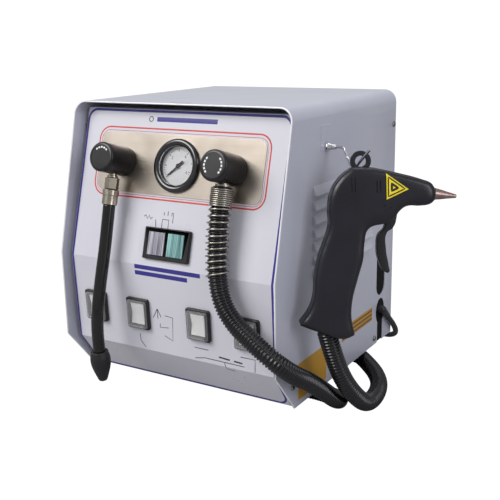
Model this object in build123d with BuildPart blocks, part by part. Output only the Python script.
from build123d import *
from math import atan2, cos, pi, radians, sin, tan
import os

# Table-top steam cleaner with two front outlets, a hanging steam handpiece and a mains lead.
# Millimetres, +Z up, front towards -Y. Origin: middle of the case's front edge, on the table.

# Overall case sizes
case_width = 300.0
case_height = 336.0
case_depth = 326.0
foot_height = 27.0
sheet = 1.5
bend_radius = 16.0
base_z = foot_height
top_z = foot_height + case_height
half_width = case_width / 2

# Side outline of the cover: leaning upper rim, upright middle rim, rim turned back under
rim_top_setback = 43.2
rim_fold_z = base_z + 157.0
rim_low_fold_z = base_z + 51.5
rim_bottom_setback = 42.4

# Front panel, set back inside the rim and bent into three faces
panel_width = 285.0
panel_fold_y = 9.8
panel_fold_z = base_z + 152.8
panel_slope = 0.2833
panel_low_y = 14.1
panel_low_z = base_z + 46.1
panel_bottom_y = 45.0
panel_top_z = base_z + 327.0
panel_flange = 12.0
lean = atan2(panel_slope, 1.0)

# Pieces that stand on their own base
on_top = (Align.CENTER, Align.CENTER, Align.MIN)

# Fits and clearances
sheet_gap = 0.1
slip_gap = 0.3
pivot_gap = 0.05

# Front fittings
outlet_spacing = 153.4
outlet_diameter = 34.4
outlet_length = 44.0
fitting_z = base_z + 266.0
gauge_flange = 62.0
gauge_body = 52.0
plate_width = 229.0
plate_height = 70.4
plate_sheet = 0.8
lamp_width = 63.6
lamp_height = 37.0
lamp_z = base_z + 178.7
switch_pitch_inner = 43.2
switch_pitch_outer = 107.7
switch_width = 32.2
switch_height = 38.0
switch_z = base_z + 91.7
rocker_width = 19.0
rocker_height = 25.0

# Hoses and lead
steam_hose_diameter = 21.5
short_hose_diameter = 14.4
mains_diameter = 7.6
table_hose_z = steam_hose_diameter / 2 + 0.75
table_mains_z = mains_diameter / 2

# Handpiece, drawn in its own upright plane turned away from the case
hand_turn = 32.0
hand_tip_out = 8.0
hand_origin = (207.0, 93.0, base_z + 279.0)
grip_half = 17.0
shell_wall = 2.5
hook_wire = 3.2

os.makedirs("parts", exist_ok=True)


# Fixed positions worked out from the sizes above
def panel_y(z):
    return panel_fold_y + panel_slope * (z - panel_fold_z)


middle_lean = atan2(panel_fold_y - panel_low_y, panel_fold_z - panel_low_z)


def middle_y(z):
    return panel_fold_y - tan(middle_lean) * (panel_fold_z - z)


upper_dir = (0, -cos(lean), sin(lean))
middle_dir = (0, -cos(middle_lean), sin(middle_lean))
fitting_face = Plane(origin=(0, panel_y(fitting_z), fitting_z), x_dir=(1, 0, 0), z_dir=upper_dir)
lamp_face = Plane(origin=(0, panel_y(lamp_z), lamp_z), x_dir=(1, 0, 0), z_dir=upper_dir)
switch_face = Plane(origin=(0, middle_y(switch_z), switch_z), x_dir=(1, 0, 0), z_dir=middle_dir)
rim_low_y = 0.0

turn = radians(hand_turn)
tip = radians(hand_tip_out)
hand_u = (cos(turn), sin(turn), 0)
hand_w = (sin(turn) * cos(tip), -cos(turn) * cos(tip), sin(tip))
hand_plane = Plane(origin=hand_origin, x_dir=hand_u, z_dir=hand_w)


def fillet_radii(points):
    radii = []
    for i in range(1, len(points) - 1):
        a = Vector(*points[i]) - Vector(*points[i - 1])
        b = Vector(*points[i + 1]) - Vector(*points[i])
        half_turn = radians(a.get_angle(b)) / 2
        radii.append(0.45 * min(a.length, b.length) / tan(half_turn))
    return radii


# Seven pressed louvres on each side, open at the bottom
louvre_count = 7
louvre_pitch = 15.7
louvre_rise = 10.5
louvre_out = 4.5
louvre_front = 86.5
louvre_length = 161.0
louvre_low_z = base_z + 141.7
with BuildPart() as louvre:
    with BuildSketch(Plane.XZ):
        with BuildLine():
            Polyline(
                (-sheet, 0), (louvre_out, 0), (louvre_out, 0.8), (0, louvre_rise),
                (-sheet, louvre_rise), close=True
            )
        make_face()
    extrude(amount=-louvre_length)
with BuildPart() as louvre_hollow:
    with BuildSketch(Plane.XZ.offset(-1.2)):
        with BuildLine():
            Polyline(
                (-sheet - 1, -1), (louvre_out - 1.2, -1), (louvre_out - 1.2, 0.6), (-sheet - 0.2, 8.6),
                (-sheet - 1, 8.6), close=True
            )
        make_face()
    extrude(amount=-(louvre_length - 2.4))
louvre_rows = [
    Pos(half_width, louvre_front, louvre_low_z + i * louvre_pitch) for i in range(louvre_count)
]
louvre_rows_left = [
    Pos(-half_width, louvre_front + louvre_length, louvre_low_z + i * louvre_pitch) * Rot(0, 0, 180)
    for i in range(louvre_count)
]

# Openings in the right side: an upper blanked slot, and the lead's keyhole open to the bottom edge
service_y = 285.5
service_width = 28.0
service_low_z = base_z + 66.0
service_high_z = base_z + 128.0
keyhole_z = base_z + 43.5
keyhole_height = 35.0
keyhole_slot = 17.0
side_screws = [(36.7, base_z + 28.0), (267.0, base_z + 9.3), (318.5, base_z + 292.0)]
pad_y = 117.5
pad_z = base_z + 297.0
# Cover: one sheet bent over the top and both sides
with BuildPart() as cover:
    with BuildSketch(Plane.XZ.offset(10)):
        with Locations((0, base_z + case_height / 2)):
            RectangleRounded(case_width, case_height, bend_radius)
        with Locations((0, base_z + bend_radius / 2)):
            Rectangle(case_width, bend_radius)
        with Locations((0, base_z + (case_height - sheet) / 2)):
            RectangleRounded(
                case_width - 2 * sheet, case_height - sheet, bend_radius - sheet, mode=Mode.SUBTRACT
            )
        with Locations((0, base_z + bend_radius / 2)):
            Rectangle(case_width - 2 * sheet, bend_radius, mode=Mode.SUBTRACT)
    extrude(amount=-(case_depth + 30))
    with BuildSketch(Plane.YZ):
        with BuildLine():
            Polyline(
                (rim_bottom_setback, base_z),
                (rim_low_y, rim_low_fold_z),
                (rim_low_y, rim_fold_z),
                (rim_top_setback, top_z),
                (case_depth, top_z),
                (case_depth, base_z),
                close=True,
            )
        make_face()
    extrude(amount=half_width + 5, both=True, mode=Mode.INTERSECT)
    with Locations(*louvre_rows, *louvre_rows_left):
        add(louvre.part)
    with Locations(*louvre_rows, *louvre_rows_left):
        add(louvre_hollow.part, mode=Mode.SUBTRACT)
    with BuildSketch(Plane.YZ.offset(half_width - 5)):
        with Locations((service_y, (service_low_z + service_high_z) / 2)):
            SlotOverall(service_high_z - service_low_z, service_width, rotation=90)
        with Locations((service_y, keyhole_z)):
            Ellipse(service_width / 2, keyhole_height / 2)
        with Locations((service_y, base_z + 15)):
            Rectangle(keyhole_slot, 34)
    extrude(amount=10, mode=Mode.SUBTRACT)
    with BuildSketch(Plane.YZ.offset(half_width)):
        with Locations((pad_y, pad_z)):
            RectangleRounded(25, 29, 1.5)
    extrude(amount=0.7)
    with BuildSketch(Plane.YZ):
        with Locations(*side_screws):
            Circle(2.2)
    extrude(amount=half_width + 5, both=True, mode=Mode.SUBTRACT)
    with BuildSketch(Plane.YZ.offset(half_width - 2)):
        with Locations((118.5, base_z + 287.0)):
            Circle(2.6)
    extrude(amount=5, mode=Mode.SUBTRACT)
cover.part.label = "cover"
export_step(cover.part, "parts/cover.step")

# Front panel: bent sheet with return flanges, cut for the fittings
front_line = [
    (panel_y(panel_top_z), panel_top_z),
    (panel_fold_y, panel_fold_z),
    (panel_low_y, panel_low_z),
    (panel_bottom_y, base_z + sheet),
]
back_line = [(y + 1.6, z) for y, z in reversed(front_line)]
flange_line = [(y + panel_flange, z) for y, z in reversed(front_line)]
with BuildPart() as front_panel:
    with BuildSketch(Plane.YZ):
        with BuildLine():
            Polyline(*front_line, *back_line, close=True)
        make_face()
    extrude(amount=panel_width / 2, both=True)
    for side in (-1, 1):
        with BuildSketch(Plane.YZ.offset(side * (panel_width / 2 - sheet / 2))):
            with BuildLine():
                Polyline(*front_line, *flange_line, close=True)
            make_face()
        extrude(amount=sheet / 2, both=True)
    with Locations((0, panel_y(panel_top_z) + panel_flange / 2 + 0.2, panel_top_z - sheet / 2)):
        Box(panel_width, panel_flange - 0.4, sheet)
    with Locations((0, panel_bottom_y + 9, base_z + sheet * 1.5)):
        Box(panel_width, 18, sheet)
    with BuildSketch(fitting_face.offset(-20)):
        Circle(gauge_body / 2 + 0.6)
        with Locations((-outlet_spacing / 2, 0), (outlet_spacing / 2, 0)):
            Circle(9)
    extrude(amount=40, mode=Mode.SUBTRACT)
    with BuildSketch(lamp_face.offset(-20)):
        Rectangle(lamp_width - 7, lamp_height - 7)
    extrude(amount=40, mode=Mode.SUBTRACT)
    with BuildSketch(switch_face.offset(-20)):
        with Locations(
            (-switch_pitch_outer, 0), (-switch_pitch_inner, 0),
            (switch_pitch_inner, 0), (switch_pitch_outer, 0),
        ):
            Rectangle(switch_width - 5, switch_height - 6)
    extrude(amount=40, mode=Mode.SUBTRACT)
    with BuildSketch(Plane.YZ):
        with Locations((panel_low_y + 22.6, base_z + 28.0)):
            Circle(2.2)
    extrude(amount=half_width, both=True, mode=Mode.SUBTRACT)
front_panel.part.label = "front_panel"
export_step(front_panel.part, "parts/front_panel.step")

# Spacers between the panel's side flanges and the cover
with BuildPart() as panel_spacers:
    gap = half_width - sheet - panel_width / 2
    for side in (-1, 1):
        with Locations((side * (panel_width / 2 + gap / 2), panel_low_y + 22.6, base_z + 28.0)):
            Box(gap - 2 * sheet_gap, 5.6, 14)
        with Locations((side * (panel_width / 2 + gap / 2), panel_y(base_z + 300) + 8.5, base_z + 300)):
            Box(gap - 2 * sheet_gap, 6, 14)
    with BuildSketch(Plane.YZ):
        with Locations((panel_low_y + 22.6, base_z + 28.0)):
            Circle(2.1)
    extrude(amount=half_width, both=True, mode=Mode.SUBTRACT)
panel_spacers.part.label = "panel_spacers"
export_step(panel_spacers.part, "parts/panel_spacers.step")

# Base tray with upturned sides and welded brackets; the cover slides over it
boiler_x = -42.0
boiler_y = 190.0
boiler_low = base_z + 34.0
valve_x = 92.0
valve_z = base_z + 150.0
valve_y = [110.0, 160.0, 210.0]
board_x = -132.0
tray_front = panel_bottom_y + 1.0
tray_back = case_depth - 3.6
tray_half = half_width - sheet - sheet_gap
feet = [(-64.0, 112.0), (64.0, 112.0), (-92.0, 293.0), (92.0, 293.0)]
with BuildPart() as base_tray:
    with Locations((0, (tray_front + tray_back) / 2, base_z + sheet / 2)):
        Box(2 * tray_half, tray_back - tray_front, sheet)
    for side in (-1, 1):
        with Locations((side * (tray_half - sheet / 2), (66 + tray_back) / 2, base_z + 10)):
            Box(sheet, tray_back - 66, 20)
    with Locations(*[(x, y, base_z) for x, y in feet]):
        Cylinder(2.6, 8, mode=Mode.SUBTRACT)
    with Locations((tray_half - 1, service_y, base_z + 12)):
        Box(6, keyhole_slot, 30, mode=Mode.SUBTRACT)
    with BuildSketch(Plane.YZ):
        with Locations(side_screws[1]):
            Circle(2.0)
    extrude(amount=half_width + 5, both=True, mode=Mode.SUBTRACT)
    with BuildSketch(Plane.XY.offset(base_z - 1)):
        with Locations((-60, 200)):
            with GridLocations(9, 40, 5, 2):
                SlotOverall(26, 4, rotation=90)
    extrude(amount=4, mode=Mode.SUBTRACT)
    with Locations((boiler_x, boiler_y, base_z + sheet)):
        with PolarLocations(48, 4):
            Box(22, 6, boiler_low - base_z - sheet - 0.2, align=on_top)
    with Locations((valve_x, 160, valve_z - 13.7)):
        Box(44, 147, 3)
    for y in (88.0, 232.0):
        with Locations((valve_x, y, base_z + 1)):
            Box(44, 3, valve_z - 13.7 - base_z, align=on_top)
    with Locations((board_x - 4.2, 170, base_z + 86)):
        Box(1.5, 130, 150)
    with Locations((board_x - 9.0, 170, base_z + 11.4)):
        Box(11, 130, 1.5)
    with Locations((board_x - 13.2, 170, base_z + 6)):
        Box(2.6, 130, 11)
    for y in (118, 222):
        for z in (72, 148):
            with Locations(Location((board_x - 3.6, y, base_z + z), (0, 90, 0))):
                Cylinder(3, 2.6, align=on_top)
base_tray.part.label = "base_tray"
export_step(base_tray.part, "parts/base_tray.step")

# Rear panel with side flanges, vents and holes for the water fittings
rear_y = case_depth - 3.5
inlet_x = -60.0
inlet_z = base_z + 70.0
drain_x = 40.0
drain_z = base_z + 45.0
with BuildPart() as rear_panel:
    with Locations((0, rear_y + sheet / 2, base_z + sheet + (case_height - 2 * sheet) / 2)):
        Box(2 * (half_width - sheet - sheet_gap) - 32, sheet, case_height - 2 * sheet - 0.4)
    with Locations((0, rear_y + sheet / 2, base_z + sheet + 0.4 + (case_height - 22) / 2)):
        Box(2 * (half_width - sheet - sheet_gap), sheet, case_height - 24)
    for side in (-1, 1):
        with Locations((side * (tray_half - sheet / 2), rear_y - 6, base_z + 175)):
            Box(sheet, 14, 280)
    with BuildSketch(Plane.XZ.offset(-rear_y - 3)):
        with Locations((0, base_z + 250)):
            with GridLocations(0, 9, 1, 9):
                SlotOverall(90, 4)
        with Locations((inlet_x, inlet_z)):
            Circle(10.5)
        with Locations((drain_x, drain_z)):
            Circle(8.5)
    extrude(amount=6, mode=Mode.SUBTRACT)
    with BuildSketch(Plane.YZ):
        with Locations(side_screws[2]):
            Circle(2.0)
    extrude(amount=half_width + 5, both=True, mode=Mode.SUBTRACT)
rear_panel.part.label = "rear_panel"
export_step(rear_panel.part, "parts/rear_panel.step")

# Four rubber feet and their screws
foot_diameter = 24.0
with BuildPart() as rubber_feet:
    for x, y in feet:
        with Locations((x, y, 0)):
            Cone(foot_diameter / 2 - 1.5, foot_diameter / 2, foot_height, align=on_top)
    for x, y in feet:
        with Locations((x, y, 0)):
            Cylinder(6, 12, align=on_top, mode=Mode.SUBTRACT)
            Cylinder(2.7, 40, align=on_top, mode=Mode.SUBTRACT)
rubber_feet.part.label = "rubber_feet"
export_step(rubber_feet.part, "parts/rubber_feet.step")

with BuildPart() as foot_screws:
    for x, y in feet:
        with Locations((x, y, 9)):
            Cylinder(4.5, 2.8, align=on_top)
            Cylinder(2.4, foot_height + 1, align=on_top)
foot_screws.part.label = "foot_screws"
export_step(foot_screws.part, "parts/foot_screws.step")

# Cover screws, three on each side
with BuildPart() as cover_screws:
    for side in (-1, 1):
        for y, z in side_screws:
            with Locations(Location((side * half_width, y, z), (0, side * 90, 0))):
                Cylinder(3.8, 2.0, align=on_top)
            with Locations(Location((side * half_width, y, z), (0, -side * 90, 0))):
                Cylinder(1.9, 5.5, align=on_top)
cover_screws.part.label = "cover_screws"
export_step(cover_screws.part, "parts/cover_screws.step")

# Stainless outlet plate, flush on the panel's upper face
with BuildPart() as outlet_plate:
    with BuildSketch(fitting_face):
        RectangleRounded(plate_width, plate_height, 10)
        Circle(gauge_body / 2 + 0.6, mode=Mode.SUBTRACT)
        with Locations((-outlet_spacing / 2, 0), (outlet_spacing / 2, 0)):
            Circle(9, mode=Mode.SUBTRACT)
    extrude(amount=plate_sheet)
outlet_plate.part.label = "outlet_plate"
export_step(outlet_plate.part, "parts/outlet_plate.step")

# Pressure gauge: flanged case, dial, pointer, glass and rear clamp
gauge_front = 5.0
gauge_depth = 28.0
dial_diameter = 46.0
face = plate_sheet
with BuildPart() as gauge_case:
    with BuildSketch(fitting_face.offset(face)):
        Circle(gauge_flange / 2)
    extrude(amount=gauge_front)
    fillet(gauge_case.edges().group_by(SortBy.LENGTH)[-1].sort_by(Axis.Y)[0:1], 3.0)
    with BuildSketch(fitting_face.offset(face)):
        Circle(gauge_body / 2)
    extrude(amount=-gauge_depth)
    with BuildSketch(fitting_face.offset(face + gauge_front)):
        Circle(dial_diameter / 2)
    extrude(amount=-9, mode=Mode.SUBTRACT)
    with BuildSketch(fitting_face.offset(face + gauge_front)):
        Circle(2.2)
    extrude(amount=-22, mode=Mode.SUBTRACT)
    with BuildSketch(fitting_face.offset(-gauge_depth + face)):
        Circle(7)
    extrude(amount=-14)
gauge_case.part.label = "gauge_case"
export_step(gauge_case.part, "parts/gauge_case.step")

with BuildPart() as gauge_dial:
    with BuildSketch(fitting_face.offset(face + gauge_front - 9)):
        Circle(dial_diameter / 2 - 0.3)
        Circle(1.6, mode=Mode.SUBTRACT)
    extrude(amount=1.0)
gauge_dial.part.label = "gauge_dial"
export_step(gauge_dial.part, "parts/gauge_dial.step")

pointer_base = face + gauge_front - 9 + 1.0
pointer_rest = 221.0
with BuildPart() as gauge_pointer:
    with BuildSketch(fitting_face.offset(pointer_base + 0.8)):
        Circle(3.0)
        with Locations(Location((0, 0), pointer_rest)):
            with Locations((7, 0)):
                Rectangle(20, 1.6)
            with Locations((-5, 0)):
                Rectangle(6, 3.2)
    extrude(amount=0.7)
    with BuildSketch(fitting_face.offset(pointer_base + 1.0)):
        Circle(1.5 - pivot_gap)
    extrude(amount=-10)
gauge_pointer.part.label = "gauge_pointer"
export_step(gauge_pointer.part, "parts/gauge_pointer.step")

with BuildPart() as gauge_glass:
    with BuildSketch(fitting_face.offset(face + gauge_front - 2.4)):
        Circle(dial_diameter / 2 - 0.3)
    extrude(amount=1.6)
gauge_glass.part.label = "gauge_glass"
export_step(gauge_glass.part, "parts/gauge_glass.step")

with BuildPart() as gauge_clamp:
    with BuildSketch(fitting_face.offset(-3.2)):
        Circle(gauge_body / 2 + 5)
        Circle(gauge_body / 2 + slip_gap, mode=Mode.SUBTRACT)
    extrude(amount=-16)
    with BuildSketch(fitting_face.offset(-3.2)):
        Rectangle(12, 90)
    extrude(amount=-20, mode=Mode.SUBTRACT)
    with BuildSketch(fitting_face.offset(-gauge_depth - 2.2 + face)):
        Rectangle(gauge_body + 10, 14)
        Circle(7 + slip_gap, mode=Mode.SUBTRACT)
    extrude(amount=1.6)
gauge_clamp.part.label = "gauge_clamp"
export_step(gauge_clamp.part, "parts/gauge_clamp.step")

# Outlet heads: round black bodies standing square to the leaning panel
neck_back = outlet_length - 24.8
left_spot = fitting_face.origin - Vector(outlet_spacing / 2, 0, 0)
left_axis = Plane(left_spot, x_dir=(1, 0, 0), z_dir=upper_dir)
right_spot = fitting_face.origin + Vector(outlet_spacing / 2, 0, 0)
right_axis = Plane(right_spot, x_dir=(1, 0, 0), z_dir=upper_dir)
down_dir = (0, -sin(lean), -cos(lean))
spigot = 8.0
with BuildPart() as left_head:
    with BuildSketch(left_axis.offset(face + 0.4)):
        Circle(outlet_diameter / 2)
    extrude(amount=outlet_length - face)
    fillet(left_head.edges().sort_by(Axis.Y)[0:1], 2.2)
    with BuildSketch(left_axis.offset(2)):
        Circle(spigot - pivot_gap)
    extrude(amount=-16)
    with BuildSketch(left_axis.offset(outlet_length - 4.5)):
        Circle(outlet_diameter / 2 + 2)
        Circle(outlet_diameter / 2 - 0.6, mode=Mode.SUBTRACT)
    extrude(amount=0.8, mode=Mode.SUBTRACT)
    left_out = left_axis.location.position + Vector(*upper_dir) * neck_back
    with BuildSketch(Plane(left_out, x_dir=(1, 0, 0), z_dir=down_dir)):
        Circle(5.1)
    extrude(amount=40, mode=Mode.SUBTRACT)
left_head.part.label = "left_head"
export_step(left_head.part, "parts/left_head.step")

with BuildPart() as left_bearing:
    with BuildSketch(left_axis.offset(-1.7)):
        Circle(12)
        Circle(spigot, mode=Mode.SUBTRACT)
    extrude(amount=-8)
    with BuildSketch(left_axis.offset(-1.7)):
        Circle(8.9)
        Circle(spigot, mode=Mode.SUBTRACT)
    extrude(amount=1.7 + face)
left_bearing.part.label = "left_bearing"
export_step(left_bearing.part, "parts/left_bearing.step")

left_down = Plane(left_out, x_dir=(1, 0, 0), z_dir=down_dir)
with BuildPart() as left_nipple:
    with BuildSketch(left_down.offset(2)):
        Circle(5.0)
    extrude(amount=31)
    with BuildSketch(left_down.offset(19)):
        Circle(6.4)
    extrude(amount=2.2)
left_nipple.part.label = "left_nipple"
export_step(left_nipple.part, "parts/left_nipple.step")

with BuildPart() as left_nut:
    with BuildSketch(left_down.offset(21.4)):
        RegularPolygon(8.4, 6, rotation=12)
        Circle(5.2, mode=Mode.SUBTRACT)
    extrude(amount=13.6)
    chamfer(left_nut.edges().filter_by(GeomType.LINE).group_by(SortBy.LENGTH)[0], 0.6)
left_nut.part.label = "left_nut"
export_step(left_nut.part, "parts/left_nut.step")

hose_start = 53.0
with BuildPart() as left_ferrule:
    with BuildSketch(left_down.offset(35.2)):
        Circle(9.6)
    extrude(amount=7.6)
    chamfer(left_ferrule.edges(), 0.8)
    with BuildSketch(left_down.offset(42.8)):
        Circle(8.9)
    extrude(amount=hose_start - 42.8)
    with BuildSketch(left_down.offset(33)):
        Circle(5.2)
    extrude(amount=6, mode=Mode.SUBTRACT)
    with BuildSketch(left_down.offset(hose_start - 1.0)):
        Circle(short_hose_diameter / 2 + 0.3)
    extrude(amount=4, mode=Mode.SUBTRACT)
left_ferrule.part.label = "left_ferrule"
export_step(left_ferrule.part, "parts/left_ferrule.step")

# Short steam hose hanging from the left outlet, with its rubber nozzle
left_x = -outlet_spacing / 2
left_top = left_out + Vector(*down_dir) * (hose_start - 0.9)
short_route = [
    (left_x, left_top.Y, left_top.Z),
    (left_x, 4.0, base_z + 200.0),
    (left_x, -3.5, base_z + 170.0),
    (left_x, -13.5, base_z + 137.0),
    (left_x, -23.0, base_z + 102.0),
    (left_x, -26.5, base_z + 70.0),
    (left_x, -24.0, base_z + 42.0),
]
short_radii = fillet_radii(short_route)
print("short hose bend radii", [round(r, 1) for r in short_radii])
with BuildPart() as left_hose:
    with BuildLine() as short_path:
        FilletPolyline(*short_route, radius=short_radii)
    short_wire = short_path.wires()[0]
    with BuildSketch(Plane(short_wire @ 0, z_dir=short_wire % 0)):
        Circle(short_hose_diameter / 2)
    sweep()
print("short hose length", round(short_wire.length, 1))
short_section = pi * (short_hose_diameter / 2) ** 2
short_ratio = left_hose.part.volume / (short_section * short_wire.length)
print("short hose volume ratio", round(short_ratio, 4))
left_hose.part.label = "left_hose"
export_step(left_hose.part, "parts/left_hose.step")

nozzle_top = Vector(*short_route[-1])
nozzle_dir = (short_wire % 1)
nozzle_plane = Plane(nozzle_top - nozzle_dir * 8, x_dir=(1, 0, 0), z_dir=nozzle_dir)
with BuildPart() as left_nozzle:
    with BuildSketch(Plane(nozzle_plane.origin, x_dir=(1, 0, 0), z_dir=-nozzle_plane.y_dir)):
        with BuildLine():
            Polyline(
                (3.0, 8.1), (7.6, 8.1), (7.6, 0), (10.2, 0), (11.4, 6), (12.0, 14), (11.2, 21),
                (4.6, 38), (3.0, 38), close=True
            )
        make_face()
    revolve(axis=Axis(nozzle_plane.origin, nozzle_dir))
left_nozzle.part.label = "left_nozzle"
export_step(left_nozzle.part, "parts/left_nozzle.step")

# Right outlet head, fixed, with the steam hose and its anti-kink spring
with BuildPart() as right_head:
    with BuildSketch(right_axis.offset(face)):
        Circle(outlet_diameter / 2)
    extrude(amount=outlet_length - face + 0.4)
    fillet(right_head.edges().sort_by(Axis.Y)[0:1], 2.2)
    with BuildSketch(right_axis.offset(2)):
        Circle(8.8)
    extrude(amount=-10)
    with BuildSketch(right_axis.offset(outlet_length - 4.5)):
        Circle(outlet_diameter / 2 + 2)
        Circle(outlet_diameter / 2 - 0.6, mode=Mode.SUBTRACT)
    extrude(amount=0.8, mode=Mode.SUBTRACT)
    right_out = right_axis.location.position + Vector(*upper_dir) * neck_back
    with BuildSketch(Plane(right_out, x_dir=(1, 0, 0), z_dir=down_dir)):
        Circle(6.1)
    extrude(amount=40, mode=Mode.SUBTRACT)
right_head.part.label = "right_head"
export_step(right_head.part, "parts/right_head.step")

right_down = Plane(right_out, x_dir=(1, 0, 0), z_dir=down_dir)
with BuildPart() as right_nipple:
    with BuildSketch(right_down.offset(2)):
        Circle(6.0)
    extrude(amount=18)
    with BuildSketch(right_down.offset(17.6)):
        Circle(8.6)
    extrude(amount=2.4)
right_nipple.part.label = "right_nipple"
export_step(right_nipple.part, "parts/right_nipple.step")

right_x = outlet_spacing / 2
right_top = right_out + Vector(*down_dir) * 20.2
steam_route = [
    (right_x, right_top.Y, right_top.Z),
    (right_x, 6.5, base_z + 214.0),
    (right_x, 2.5, base_z + 184.0),
    (81.0, -4.5, base_z + 155.0),
    (88.0, -7.5, base_z + 130.6),
    (104.5, -11.0, base_z + 111.0),
    (130.0, -15.0, base_z + 96.0),
    (156.0, -16.0, base_z + 79.5),
    (169.5, 2.0, base_z + 60.0),
    (172.5, 32.0, base_z + 42.0),
    (173.5, 63.0, base_z + 20.0),
    (171.0, 92.0, base_z - 4.0),
    (151.0, 107.0, table_hose_z),
    (123.0, 102.0, table_hose_z),
    (99.0, 115.0, table_hose_z),
    (91.5, 148.0, table_hose_z),
    (90.0, 186.0, table_hose_z),
    (88.0, 222.0, table_hose_z),
    (102.0, 254.0, table_hose_z),
    (129.0, 262.0, table_hose_z),
    (153.0, 239.0, table_hose_z),
    (177.0, 212.0, table_hose_z),
    (195.0, 181.0, table_hose_z),
    (204.0, 144.0, table_hose_z),
    (206.5, 110.0, base_z - 9.0),
    (204.5, 82.0, base_z + 13.0),
    (197.5, 65.0, base_z + 38.0),
    (190.5, 55.0, base_z + 69.0),
    (184.9, 48.8, base_z + 99.0),
]
steam_radii = fillet_radii(steam_route)
print("steam hose bend radii", [round(r, 1) for r in steam_radii])
with BuildPart() as steam_hose:
    with BuildLine() as steam_path:
        FilletPolyline(*steam_route, radius=steam_radii)
    steam_wire = steam_path.wires()[0]
    with BuildSketch(Plane(steam_wire @ 0, z_dir=steam_wire % 0)):
        Circle(steam_hose_diameter / 2)
    sweep()
print("steam hose length", round(steam_wire.length, 1))
steam_section = pi * (steam_hose_diameter / 2) ** 2
steam_ratio = steam_hose.part.volume / (steam_section * steam_wire.length)
print("steam hose volume ratio", round(steam_ratio, 4))
steam_hose.part.label = "steam_hose"
export_step(steam_hose.part, "parts/steam_hose.step")

# Close-wound spring collar, then open turns along the hose
spring_wire = 1.9
open_turns = 11
open_pitch = 7.0
collar_turns = 9
with BuildPart() as hose_spring:
    for i in range(collar_turns):
        at = 1.6 + i * 2.15
        spot = steam_wire.position_at(at / steam_wire.length)
        heading = steam_wire.tangent_at(at / steam_wire.length)
        with Locations(Plane(spot, z_dir=heading).location):
            Torus(steam_hose_diameter / 2 + spring_wire / 2 + 0.35, spring_wire / 2 + 0.18)
    for i in range(open_turns):
        at = 1.6 + collar_turns * 2.15 + (i + 0.6) * open_pitch
        spot = steam_wire.position_at(at / steam_wire.length)
        heading = steam_wire.tangent_at(at / steam_wire.length)
        with Locations(Plane(spot, z_dir=heading).location):
            Torus(steam_hose_diameter / 2 + spring_wire / 2 + 0.35, spring_wire / 2)
hose_spring.part.label = "hose_spring"
export_step(hose_spring.part, "parts/hose_spring.step")

# Double pilot lamp
with BuildPart() as lamp_frame:
    with BuildSketch(lamp_face):
        RectangleRounded(lamp_width, lamp_height, 1.5)
    extrude(amount=4.5)
    chamfer(lamp_frame.edges().group_by(Axis.Y)[0], 0.8)
    with BuildSketch(lamp_face):
        Rectangle(lamp_width - 7.4, lamp_height - 7.4)
    extrude(amount=-14)
    with BuildSketch(lamp_face.offset(6)):
        with Locations((-13.6, 0), (13.6, 0)):
            Rectangle(23, lamp_height - 10)
    extrude(amount=-16, mode=Mode.SUBTRACT)
lamp_frame.part.label = "lamp_frame"
export_step(lamp_frame.part, "parts/lamp_frame.step")

with BuildPart() as lamp_lens_left:
    with BuildSketch(lamp_face.offset(-9.5)):
        with Locations((-13.6, 0)):
            Rectangle(22.4, lamp_height - 10.6)
    extrude(amount=14.5)
lamp_lens_left.part.label = "lamp_lens_left"
export_step(lamp_lens_left.part, "parts/lamp_lens_left.step")

with BuildPart() as lamp_lens_right:
    with BuildSketch(lamp_face.offset(-9.5)):
        with Locations((13.6, 0)):
            Rectangle(22.4, lamp_height - 10.6)
    extrude(amount=14.5)
lamp_lens_right.part.label = "lamp_lens_right"
export_step(lamp_lens_right.part, "parts/lamp_lens_right.step")

# Four rocker switches: bezels, rockers and clear splash covers
switch_x = [-switch_pitch_outer, -switch_pitch_inner, switch_pitch_inner, switch_pitch_outer]
rocker_angle = 9.0
with BuildPart() as switch_bezels:
    with BuildSketch(switch_face):
        with Locations(*[(x, 0) for x in switch_x]):
            RectangleRounded(switch_width, switch_height, 2.5)
    extrude(amount=4.2)
    chamfer(switch_bezels.edges().group_by(Axis.Y)[0], 0.7)
    with BuildSketch(switch_face):
        with Locations(*[(x, 0) for x in switch_x]):
            Rectangle(switch_width - 5.4, switch_height - 6.4)
    extrude(amount=-22)
    with BuildSketch(switch_face.offset(8)):
        with Locations(*[(x, 0) for x in switch_x]):
            Rectangle(rocker_width + 1.6, rocker_height + 2.4)
    extrude(amount=-22, mode=Mode.SUBTRACT)
    for x in switch_x:
        with Locations(switch_face.offset(-1.5).location * Location((x, 0, 0), (0, 90, 0))):
            Cylinder(1.6, rocker_width + 4, mode=Mode.SUBTRACT)
switch_bezels.part.label = "switch_bezels"
export_step(switch_bezels.part, "parts/switch_bezels.step")

rockers = []
for number, x in enumerate(switch_x, start=1):
    with BuildPart() as rocker:
        with BuildSketch(Plane.YZ.offset(-rocker_width / 2)):
            with BuildLine():
                Polyline(
                    (-rocker_height / 2, -6), (-rocker_height / 2, 5.2), (0, 3.0), (rocker_height / 2, 5.2),
                    (rocker_height / 2, -6), close=True
                )
            make_face()
        extrude(amount=rocker_width)
        with Locations(Location((0, 0, 0), (0, 90, 0))):
            Cylinder(1.6 - pivot_gap, rocker_width + 3)
    placed = switch_face.offset(-1.5).location * Location((x, 0, 0)) * rocker.part
    placed.label = "rocker_" + str(number)
    export_step(placed, "parts/rocker_" + str(number) + ".step")
    rockers.append(placed)

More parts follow.
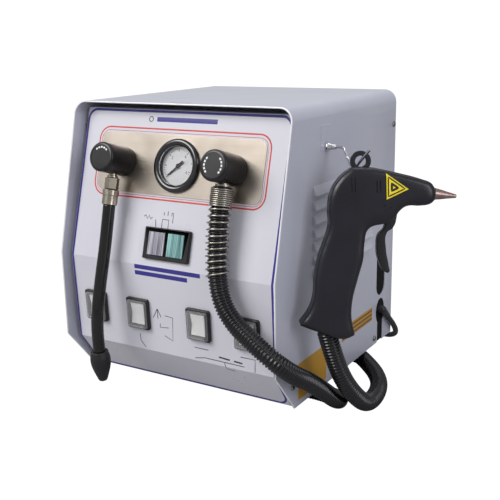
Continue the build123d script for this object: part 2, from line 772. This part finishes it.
with BuildPart() as switch_covers:
    with BuildSketch(switch_face.offset(4.3)):
        with Locations(*[(x, 0) for x in switch_x]):
            RectangleRounded(switch_width - 4, switch_height - 4, 2.5)
    extrude(amount=5.6, taper=12)
    with BuildSketch(switch_face.offset(4.2)):
        with Locations(*[(x, 0) for x in switch_x]):
            RectangleRounded(switch_width - 6.6, switch_height - 6.6, 2.0)
    extrude(amount=4.6, taper=12, mode=Mode.SUBTRACT)
switch_covers.part.label = "switch_covers"
export_step(switch_covers.part, "parts/switch_covers.step")

# Hook on the right side: turned foot and bent wire
hook_foot = (half_width + 0.7, 118.5, base_z + 287.0)
with BuildPart() as hook_base:
    with Locations(Location(hook_foot, (0, 90, 0))):
        Cylinder(5.6, 2.2, align=on_top)
    with Locations(Location((hook_foot[0] + 2.2, hook_foot[1], hook_foot[2]), (0, 90, 0))):
        Cone(5.2, 2.6, 10, align=on_top)
    with Locations(Location((half_width + 1, hook_foot[1], hook_foot[2]), (0, -90, 0))):
        Cylinder(2.4, 8, align=on_top)
hook_base.part.label = "hook_base"
export_step(hook_base.part, "parts/hook_base.step")

ring_centre = hand_plane.from_local_coords(Vector(-3.9, -1.4, 0))
arm_slope = radians(44.0)
arm_turn = radians(24.0)
arm_dir = Vector(cos(arm_turn) * cos(arm_slope), -sin(arm_turn) * cos(arm_slope), sin(arm_slope))
arm_low = ring_centre - arm_dir * 7.4
arm_tip = ring_centre + arm_dir * 20.0
wire_start = Vector(hook_foot[0] + 12.2, hook_foot[1], hook_foot[2])
wire_route = [
    tuple(wire_start),
    (wire_start.X + 13.0, 110.0, base_z + 288.0),
    (wire_start.X + 19.0, 107.5, base_z + 276.5),
    (arm_low.X - 9.0, arm_low.Y + 4.0, arm_low.Z - 1.0),
    tuple(arm_low),
    tuple(arm_tip),
]
wire_radii = [7.0, 7.0, 4.5, 4.0]
with BuildPart() as hook_wire_part:
    with BuildLine() as wire_path:
        FilletPolyline(*wire_route, radius=wire_radii)
    bent_wire = wire_path.wires()[0]
    with BuildSketch(Plane(bent_wire @ 0, z_dir=bent_wire % 0)):
        Circle(hook_wire / 2)
    sweep()
hook_wire_part.part.label = "hook_wire"
export_step(hook_wire_part.part, "parts/hook_wire.step")
print("ring centre", ring_centre, "arm direction", arm_dir)

# Handpiece outline in its own plane: back, barrel, trigger mouth, grip and flared foot
outline = [
    (-14.5, -7.6), (-27.0, -18.6), (-35.6, -32.4), (-39.0, -52.0), (-38.6, -69.0), (-43.8, -86.0),
    (-50.2, -104.0), (-54.3, -125.5), (-55.8, -145.0), (-60.4, -159.0), (-71.6, -174.6),
    (-50.0, -183.0), (-24.0, -190.5), (-12.0, -186.6), (-15.6, -168.0), (-14.8, -150.4), (-9.0, -126.5),
    (-2.9, -104.5), (-1.4, -86.6), (2.0, -73.5), (8.0, -69.6), (19.0, -67.6), (30.0, -62.4),
    (35.0, -55.0), (43.0, -49.4), (57.0, -49.2), (68.0, -47.4), (73.0, -43.0), (73.0, -31.4),
    (68.6, -25.4), (59.3, -21.4), (33.0, -13.9), (7.2, -7.9),
]
inner = [
    (-24.6, -21.0), (-32.4, -34.0), (-35.6, -52.0), (-35.2, -69.0), (-40.4, -87.0), (-46.8, -105.0),
    (-50.8, -126.0), (-52.2, -146.0), (-57.2, -160.4), (-52.0, -178.6), (-24.0, -186.8), (-19.2, -168.0),
    (-18.4, -150.4), (-12.6, -126.5), (-6.5, -104.5), (-5.0, -86.6), (-0.6, -71.0), (6.6, -66.0),
    (18.0, -63.8), (27.6, -59.4), (32.6, -52.0), (41.6, -45.8), (56.0, -45.6), (66.0, -44.0), (69.6, -40.0),
    (69.6, -33.0), (66.4, -28.8), (58.0, -24.8), (32.0, -17.4), (6.0, -11.4), (-12.0, -11.0),
]
hose_bore = Plane(
    origin=tuple(steam_wire @ 1), z_dir=steam_wire % 1
)


# Sloping recess behind the ring, where the hook's wire passes as the handpiece is lifted off
recess_width = 19.5
recess_plane = Plane(origin=hand_origin, x_dir=hand_w, z_dir=tuple(-Vector(*hand_u)))
hand_bosses = [(-28.0, -36.0), (50.0, -28.5), (-46.0, -150.0), (-12.2, -103.0)]


def hand_half(side):
    with BuildPart() as half:
        with BuildSketch(hand_plane):
            Polygon(*outline, align=None)
        extrude(amount=side * grip_half)
        rim = half.faces().sort_by(Axis(hand_origin, hand_w))[-1 if side > 0 else 0]
        chamfer(rim.edges(), 5.0)
        with BuildSketch(hand_plane.offset(-side * 1)):
            Polygon(*inner, align=None)
        extrude(amount=side * (grip_half - shell_wall + 1 - 2.0), mode=Mode.SUBTRACT)
        with BuildSketch(hand_plane):
            with Locations(*hand_bosses):
                Circle(3.4)
        extrude(amount=side * (grip_half - 4))
        with BuildSketch(hand_plane.offset(-side)):
            with Locations(*hand_bosses):
                Circle(1.55 if side > 0 else 1.8)
        extrude(amount=side * (9.5 if side > 0 else grip_half + 4), mode=Mode.SUBTRACT)
        with BuildSketch(hand_plane):
            with Locations((-3.9, -1.4)):
                Circle(11.1)
            with Locations((-3.9, -8.5)):
                Rectangle(19, 8)
        extrude(amount=side * 1.5)
        with BuildSketch(hand_plane.offset(-side)):
            with Locations((-3.9, -1.4)):
                Circle(5.8)
        extrude(amount=side * 4, mode=Mode.SUBTRACT)
        with BuildSketch(hand_plane.offset(-side)):
            with Locations((27.0, -70.0)):
                Rectangle(19, 28)
            with Locations((70, -37.6)):
                Rectangle(16, 10.4)
        extrude(amount=side * 8.2, mode=Mode.SUBTRACT)
        if side < 0:
            with BuildSketch(recess_plane):
                Polygon((-14.9, -24), (-14.9, -12.6), (-1, -12.6), (-1, -24), align=None)
            extrude(amount=recess_width)
            with BuildSketch(recess_plane):
                Polygon((-17.6, -21.3), (-17.6, -4), (-2, -4), (-2, -6.8), align=None)
            extrude(amount=recess_width, mode=Mode.SUBTRACT)
        with BuildSketch(hose_bore.offset(-20)):
            Circle(steam_hose_diameter / 2 + 0.6)
        extrude(amount=34, mode=Mode.SUBTRACT)
        with BuildSketch(hand_plane.offset(-side)):
            with Locations((27.0, -60.0)):
                Circle(2.1)
        extrude(amount=side * (grip_half - 2.5 + 1), mode=Mode.SUBTRACT)
    return half.part


hand_shell_front = hand_half(1)
hand_shell_front.label = "hand_shell_front"
export_step(hand_shell_front, "parts/hand_shell_front.step")
hand_shell_back = hand_half(-1)
hand_shell_back.label = "hand_shell_back"
export_step(hand_shell_back, "parts/hand_shell_back.step")
print("shell volumes", round(hand_shell_front.volume), round(hand_shell_back.volume))

# Screws joining the handpiece halves, put in from the case side
with BuildPart() as hand_screws:
    for u, v in hand_bosses:
        with BuildSketch(hand_plane.offset(-grip_half - 0.2)):
            with Locations((u, v)):
                Circle(2.6)
        extrude(amount=-1.2)
        with BuildSketch(hand_plane.offset(-grip_half - 0.2)):
            with Locations((u, v)):
                Circle(1.45)
        extrude(amount=grip_half + 6)
hand_screws.part.label = "hand_screws"
export_step(hand_screws.part, "parts/hand_screws.step")

# Trigger on its cross pin
trigger_pivot = (27.0, -60.0)
trigger_half = 6.0
with BuildPart() as trigger:
    with BuildSketch(hand_plane.offset(-trigger_half)):
        Polygon(
            (33.0, -56.5), (33.4, -63.0), (29.8, -72.4), (23.3, -77.6), (22.3, -95.0), (25.2, -113.0),
            (25.6, -120.0), (22.6, -120.6), (14.3, -107.0), (12.4, -91.0), (14.3, -79.4), (20.4, -72.6),
            (21.6, -63.0), (22.0, -57.0), align=None,
        )
    extrude(amount=2 * trigger_half)
    with BuildSketch(hand_plane.offset(-20)):
        with Locations(trigger_pivot):
            Circle(2.0 + pivot_gap)
    extrude(amount=40, mode=Mode.SUBTRACT)
trigger.part.label = "trigger"
export_step(trigger.part, "parts/trigger.step")

with BuildPart() as trigger_pin:
    with BuildSketch(hand_plane.offset(-14)):
        with Locations(trigger_pivot):
            Circle(2.0)
    extrude(amount=28)
trigger_pin.part.label = "trigger_pin"
export_step(trigger_pin.part, "parts/trigger_pin.step")

# Steam pipe with its hose flange, brazed into the valve block inside the handpiece
pipe_radius = 3.6
inner_points = [(-36.0, -160.0), (-29.5, -112.0), (-20.0, -66.0), (-4.0, -42.0), (8.0, -38.0)]
hose_end = steam_wire @ 1
hose_heading = steam_wire % 1
pipe_route = [tuple(hose_end + hose_heading * 0.3), tuple(hose_end + hose_heading * 8.0)]
pipe_route += [tuple(hand_plane.from_local_coords(Vector(u, v, 0))) for u, v in inner_points]
with BuildPart() as hand_valve:
    with BuildLine() as hand_path:
        Polyline(*pipe_route)
    hand_line = hand_path.wires()[0]
    with BuildSketch(Plane(hand_line @ 0, z_dir=hose_heading)):
        Circle(pipe_radius)
    sweep(transition=Transition.ROUND)
    with BuildSketch(Plane(hand_line @ 0, z_dir=hose_heading)):
        Circle(8.5)
    extrude(amount=2.0)
    with BuildSketch(hand_plane.offset(-7.5)):
        with Locations((15.0, -37.6)):
            RectangleRounded(22.4, 15, 2)
        with Locations((23.0, -46.5)):
            Rectangle(6, 6)
    extrude(amount=15)
    with BuildSketch(Plane(hand_plane.from_local_coords(Vector(26.0, -37.6, 0)), z_dir=hand_u)):
        Circle(pipe_radius)
    extrude(amount=40.8)
hand_valve.part.label = "hand_valve"
export_step(hand_valve.part, "parts/hand_valve.step")

# Steel tip, tapering to a small bore
tip_start = hand_plane.from_local_coords(Vector(73.3, -37.4, 0))
tip_end = hand_plane.from_local_coords(Vector(98.0, -40.6, 0))
tip_dir = (tip_end - tip_start).normalized()
tip_side = Vector(*hand_w).cross(tip_dir).normalized()
with BuildPart() as hand_tip:
    with BuildSketch(Plane(tip_start, x_dir=tip_dir, z_dir=hand_w)):
        Polygon(
            (-5.9, 1.2), (24.9, 1.2), (24.9, 1.9), (10.0, 4.9), (1.0, 6.4), (1.0, 4.0), (-5.9, 4.0),
            align=None,
        )
    revolve(axis=Axis(tip_start, tip_dir))
hand_tip.part.label = "hand_tip"
export_step(hand_tip.part, "parts/hand_tip.step")

# Blanking insert of the upper side opening
service_mid_z = (service_low_z + service_high_z) / 2
service_length = service_high_z - service_low_z
with BuildPart() as side_blank:
    with BuildSketch(Plane.YZ.offset(half_width - sheet - 3)):
        with Locations((service_y, service_mid_z)):
            SlotOverall(service_length - 0.6, service_width - 0.6, rotation=90)
    extrude(amount=3.6)
    with BuildSketch(Plane.YZ.offset(half_width - sheet - 3)):
        with Locations((service_y, service_mid_z)):
            SlotOverall(service_length + 5, service_width + 5, rotation=90)
    extrude(amount=2.7)
side_blank.part.label = "side_blank"
export_step(side_blank.part, "parts/side_blank.step")

# Black entry block filling the lead's opening, carried by the tray
with BuildPart() as lead_entry:
    with BuildSketch(Plane.YZ.offset(half_width - 9)):
        with Locations((service_y, keyhole_z)):
            Ellipse(service_width / 2 - 0.5, keyhole_height / 2 - 0.5)
        with Locations((service_y, base_z + 15)):
            Rectangle(keyhole_slot - 1, 26)
    extrude(amount=9)
lead_entry.part.label = "lead_entry"
export_step(lead_entry.part, "parts/lead_entry.step")

lead_run = Vector(0.0, 0.77, -0.638).normalized()
boot_start = Vector(half_width + 5.6, service_y - 5.0, keyhole_z + 4.0)
boot_length = 22.0
with BuildPart() as lead_boot:
    with BuildSketch(Plane(boot_start, z_dir=lead_run)):
        Circle(5.4)
    with BuildSketch(Plane(boot_start + lead_run * boot_length, z_dir=lead_run)):
        Circle(4.3)
    loft()
    with Locations(Location((half_width + 0.3, boot_start.Y, boot_start.Z), (0, 90, 0))):
        Cylinder(5.4, 5.3, align=on_top)
    with Locations(boot_start):
        Sphere(5.4)
    with BuildSketch(Plane.YZ.offset(half_width + 0.2)):
        Rectangle(900, 900)
    extrude(amount=-30, mode=Mode.SUBTRACT)
lead_boot.part.label = "lead_boot"
export_step(lead_boot.part, "parts/lead_boot.step")

# Mains lead: from the boot down behind the case to a put-away coil, then to the plug
lead_start = boot_start + lead_run * (boot_length + 0.1)
mains_route = [
    tuple(lead_start),
    (155.6, 314.0, base_z + 20.5),
    (155.0, 333.0, base_z + 3.0),
    (148.0, 351.0, base_z - 12.0),
    (128.0, 368.0, table_mains_z),
    (98.0, 378.0, table_mains_z),
    (66.0, 380.0, table_mains_z),
    (38.0, 384.0, table_mains_z),
]
mains_radii = fillet_radii(mains_route)
print("mains lead bend radii", [round(r, 1) for r in mains_radii])
with BuildPart() as mains_lead:
    with BuildLine() as mains_path:
        FilletPolyline(*mains_route, radius=mains_radii)
    mains_wire = mains_path.wires()[0]
    with BuildSketch(Plane(mains_wire @ 0, z_dir=mains_wire % 0)):
        Circle(mains_diameter / 2)
    sweep()
print("mains lead run", round(mains_wire.length, 1))
mains_lead.part.label = "mains_lead"
export_step(mains_lead.part, "parts/mains_lead.step")

# Put-away coil of the lead: the outer shape of six turns, three layers of two, behind the case
coil_centre = (0.0, 425.0)
coil_mean = 45.0
coil_layers = 3
with BuildPart() as mains_coil:
    with BuildSketch(Plane.XZ):
        with Locations((coil_mean, coil_layers * mains_diameter / 2)):
            RectangleRounded(2 * mains_diameter, coil_layers * mains_diameter, 3.4)
    revolve(axis=Axis.Z)
mains_coil_placed = Pos(coil_centre[0], coil_centre[1], 0) * mains_coil.part
mains_coil_placed.label = "mains_coil"
export_step(mains_coil_placed, "parts/mains_coil.step")

# Plug with two round pins and a side earth
plug_at = (-92.0, 385.0)
with BuildPart() as mains_plug:
    with Locations((plug_at[0], plug_at[1], 18.5)):
        Cylinder(18.2, 30, rotation=(0, 90, 0))
    chamfer(mains_plug.edges().group_by(Axis.X)[0], 2.5)
    with Locations(Location((plug_at[0] + 15, plug_at[1], 18.5), (0, 90, 0))):
        Cone(12, 6.0, 22, align=on_top)
mains_plug.part.label = "mains_plug"
export_step(mains_plug.part, "parts/mains_plug.step")

with BuildPart() as plug_pins:
    with Locations(
        Location((plug_at[0] - 15.1, plug_at[1] - 9.5, 18.5), (0, -90, 0)),
        Location((plug_at[0] - 15.1, plug_at[1] + 9.5, 18.5), (0, -90, 0)),
    ):
        Cylinder(2.4, 19, align=on_top)
plug_pins.part.label = "plug_pins"
export_step(plug_pins.part, "parts/plug_pins.step")

# Boiler on the tray's stand, with heater, safety valve and pressure switch
boiler_high = base_z + 236.0
boiler_radius = 76.0
boiler_corner = 16.0
boiler_wall = 5.0
with BuildPart() as boiler:
    with Locations((boiler_x, boiler_y, boiler_low)):
        Cylinder(boiler_radius, boiler_high - boiler_low, align=on_top)
    fillet(boiler.edges().filter_by(GeomType.CIRCLE), boiler_corner)
    with Locations((boiler_x, boiler_y - 38, boiler_high - 4), (boiler_x - 38, boiler_y, boiler_high - 4)):
        Cylinder(9, 12, align=on_top)
    with Locations((boiler_x + 38, boiler_y, boiler_high - 4)):
        Cylinder(9, 12, align=on_top)
    with Locations((boiler_x, boiler_y, boiler_low + boiler_wall)):
        Cylinder(
            boiler_radius - boiler_wall - 4, boiler_high - boiler_low - 2 * boiler_wall - 2,
            align=on_top, mode=Mode.SUBTRACT,
        )
boiler.part.label = "boiler"
export_step(boiler.part, "parts/boiler.step")

with BuildPart() as heater_head:
    with Locations((boiler_x, boiler_y, boiler_high + 0.1)):
        Cylinder(24, 9, align=on_top)
    with Locations((boiler_x, boiler_y, boiler_high + 9)):
        with PolarLocations(12, 3):
            Cylinder(3.2, 16, align=on_top)
heater_head.part.label = "heater_head"
export_step(heater_head.part, "parts/heater_head.step")

with BuildPart() as safety_valve:
    with Locations((boiler_x - 38, boiler_y, boiler_high + 8.1)):
        Cylinder(8, 20, align=on_top)
        Cylinder(5, 34, align=on_top)
safety_valve.part.label = "safety_valve"
export_step(safety_valve.part, "parts/safety_valve.step")

with BuildPart() as pressure_switch:
    with Locations((boiler_x + 38, boiler_y, boiler_high + 8.1)):
        Cylinder(7, 10, align=on_top)
    with Locations((boiler_x + 38, boiler_y, boiler_high + 18)):
        Box(34, 44, 26, align=on_top)
pressure_switch.part.label = "pressure_switch"
export_step(pressure_switch.part, "parts/pressure_switch.step")

# Three solenoid valves on the tray's bracket above the pump
with BuildPart() as solenoid_valves:
    for y in valve_y:
        with Locations((valve_x, y, valve_z)):
            Box(34, 24, 24)
        with Locations((valve_x, y, valve_z + 12)):
            Cylinder(13, 30, align=on_top)
        with Locations((valve_x, y, valve_z + 42)):
            Cylinder(5, 8, align=on_top)
solenoid_valves.part.label = "solenoid_valves"
export_step(solenoid_valves.part, "parts/solenoid_valves.step")

with BuildPart() as water_pump:
    with Locations((valve_x, 160, base_z + sheet + 0.1)):
        Box(50, 90, 6, align=on_top)
    with Locations(Location((valve_x, 160, base_z + 42), (90, 0, 0))):
        Cylinder(27, 84)
    with Locations((valve_x, 160, base_z + 12)):
        Box(30, 60, 14)
    with Locations(Location((valve_x, 160, base_z + 42), (90, 0, 0))):
        Cylinder(8, 118)
water_pump.part.label = "water_pump"
export_step(water_pump.part, "parts/water_pump.step")

# Copper pipes from the boiler to the valves and on to both outlets and the gauge
pipe_bore = 3.0
left_back = left_axis.location.position - Vector(*upper_dir) * 14.4
right_back = right_axis.location.position - Vector(*upper_dir) * 8.4
gauge_back = fitting_face.origin + Vector(*upper_dir) * (face - gauge_depth - 14.3)
pipe_runs = [
    [tuple(left_back), (left_back.X, 92.0, left_back.Z - 14), (left_back.X, 92.0, base_z + 262.0),
     (boiler_x, 108.0, base_z + 262.0), (boiler_x, boiler_y - 38, base_z + 262.0),
     (boiler_x, boiler_y - 38, boiler_high + 8.2)],
    [tuple(right_back), (right_back.X, 92.0, right_back.Z - 10), (valve_x, valve_y[0], valve_z + 62),
     (valve_x, valve_y[0], valve_z + 50.2)],
]
with BuildPart() as steam_pipes:
    for run in pipe_runs:
        with BuildLine() as pipe_path:
            FilletPolyline(*run, radius=6)
        pipe_wire = pipe_path.wires()[0]
        with BuildSketch(Plane(pipe_wire @ 0, z_dir=pipe_wire % 0)):
            Circle(pipe_bore)
        sweep(path=pipe_path.wires()[0])
steam_pipes.part.label = "steam_pipes"
export_step(steam_pipes.part, "parts/steam_pipes.step")

# Control board on stand-offs, on the left side of the tray
with BuildPart() as control_board:
    with Locations((board_x, 170, base_z + 110)):
        Box(1.6, 120, 90)
    for y, z in ((130, 90), (170, 120), (205, 95)):
        with Locations((board_x + 4, y, base_z + z)):
            Box(6.4, 22, 16)
control_board.part.label = "control_board"
export_step(control_board.part, "parts/control_board.step")

# Water inlet and drain tap through the rear panel
with BuildPart() as water_inlet:
    with BuildSketch(Plane.XZ.offset(-rear_y + 12)):
        with Locations((inlet_x, inlet_z)):
            Circle(10.2)
            Circle(6, mode=Mode.SUBTRACT)
    extrude(amount=-30)
    with BuildSketch(Plane.XZ.offset(-rear_y + 0.2)):
        with Locations((inlet_x, inlet_z)):
            RegularPolygon(15, 6)
            Circle(6, mode=Mode.SUBTRACT)
    extrude(amount=4)
water_inlet.part.label = "water_inlet"
export_step(water_inlet.part, "parts/water_inlet.step")

with BuildPart() as drain_tap:
    with BuildSketch(Plane.XZ.offset(-rear_y + 12)):
        with Locations((drain_x, drain_z)):
            Circle(8.2)
            Circle(4, mode=Mode.SUBTRACT)
    extrude(amount=-34)
    with BuildSketch(Plane.XZ.offset(-rear_y - sheet - 0.2)):
        with Locations((drain_x, drain_z)):
            RegularPolygon(13, 6)
            Circle(4, mode=Mode.SUBTRACT)
    extrude(amount=-6)
drain_tap.part.label = "drain_tap"
export_step(drain_tap.part, "parts/drain_tap.step")
